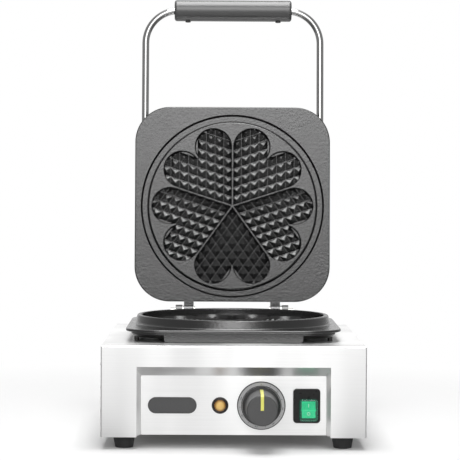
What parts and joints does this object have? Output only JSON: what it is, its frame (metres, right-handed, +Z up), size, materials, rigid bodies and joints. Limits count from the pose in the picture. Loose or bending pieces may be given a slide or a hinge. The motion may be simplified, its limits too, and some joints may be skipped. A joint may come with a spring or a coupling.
{
  "type": "heart waffle maker",
  "caption": "Countertop waffle maker with a steel housing, cast plates with heart-shaped cavities, a hinged lid with a bent-rod handle, a thermostat knob and a mains rocker.",
  "frame": {"origin": "on the surface it stands on, under the middle of the whole object with its lid open", "axes": "+X to the object's right as seen from its front, +Y to its back, +Z up"},
  "size_m": [0.2696, 0.3676, 0.4767],
  "materials": {
    "steel_sheet": "fine brushed stainless sheet",
    "black_iron": "fine cast, baked-on black coating",
    "feet_rubber": "matt black rubber",
    "zinc_steel": "bright zinc-plated steel",
    "earth_brass": "plain brass",
    "terminal_plastic": "pale phenolic",
    "heater_steel": "dull heat-stained tube",
    "instrument_steel": "pressed nickel-plated steel",
    "capillary_copper": "drawn copper",
    "dial_metal": "satin anodised",
    "knob_black": "satin phenolic",
    "pointer_yellow": "smooth insert",
    "bezel_black": "smooth moulding",
    "lens_amber": "clear amber moulding",
    "switch_black": "smooth moulding",
    "switch_clear": "clear flexible cover",
    "rocker_green": "translucent green moulding",
    "badge_dark": "satin dark plate, left bare",
    "gland_black": "black nylon",
    "bracket_steel": "black-painted steel",
    "rod_chrome": "polished bright rod",
    "grip_black": "satin black phenolic"
  },
  "bodies": {
    "base": {"badge_plate": "badge_dark", "base_conduit_gland": "gland_black", "bottom_plate": "steel_sheet", "bracket_bolts": "zinc_steel", "control_panel": "steel_sheet", "dial_ring": "dial_metal", "earth_bolt": "earth_brass", "foot_front_left": "feet_rubber", "foot_front_right": "feet_rubber", "foot_rear_left": "feet_rubber", "foot_rear_right": "feet_rubber", "foot_screws": "zinc_steel", "gland_nuts": "gland_black", "heat_shield": "steel_sheet", "hinge_bracket_left": "bracket_steel", "hinge_bracket_right": "bracket_steel", "hinge_pin_clips": "zinc_steel", "hinge_pin_left": "zinc_steel", "hinge_pin_right": "zinc_steel", "hinge_washers": "zinc_steel", "housing_shell": "steel_sheet", "lamp_bezel": "bezel_black", "lamp_body": "instrument_steel", "lamp_lens": "lens_amber", "lid_stop_bar": "bracket_steel", "lower_heater": "heater_steel", "lower_heater_clamps": "zinc_steel", "lower_heater_pan": "black_iron", "lower_pan_screws": "zinc_steel", "lower_plate": "black_iron", "m5_nuts": "zinc_steel", "mains_gland": "gland_black", "plate_stud_nuts": "zinc_steel", "plate_studs": "zinc_steel", "rear_panel": "steel_sheet", "rear_panel_screws": "zinc_steel", "stop_bar_screws": "zinc_steel", "switch_cover": "switch_clear", "switch_housing": "switch_black", "terminal_block": "terminal_plastic", "terminal_screws": "zinc_steel", "thermal_cutout": "instrument_steel", "thermostat_body": "instrument_steel", "thermostat_bulb": "capillary_copper", "thermostat_screws": "zinc_steel"},
    "lid": {"upper_plate": "black_iron", "handle_rod": "rod_chrome", "handle_grip": "grip_black", "grip_screws": "zinc_steel", "rod_set_screws": "zinc_steel", "upper_heater": "heater_steel", "upper_heater_clamps": "zinc_steel", "cover_standoffs": "zinc_steel", "upper_cover": "steel_sheet", "cover_screws": "zinc_steel", "lid_conduit_gland": "gland_black"},
    "knob": {"knob": "knob_black", "knob_pointer": "pointer_yellow", "thermostat_spindle": "instrument_steel"},
    "rocker": {"switch_rocker": "rocker_green"}
  },
  "joints": [
    {"name": "lid_hinge", "type": "hinge", "parent": "base", "child": "lid", "pos_m": [0, 0.1196, 0.1193], "axis": [1, 0, 0], "range_deg": [0, 94]},
    {"name": "knob_turn", "type": "hinge", "parent": "base", "child": "knob", "pos_m": [0.0277, -0.138, 0.04305], "axis": [0, 1, 0], "range_deg": [0, 290]},
    {"name": "rocker_tip", "type": "hinge", "parent": "base", "child": "rocker", "pos_m": [0.0749, -0.1398, 0.03905], "axis": [1, 0, 0], "range_deg": [0, 20]}
  ]
}
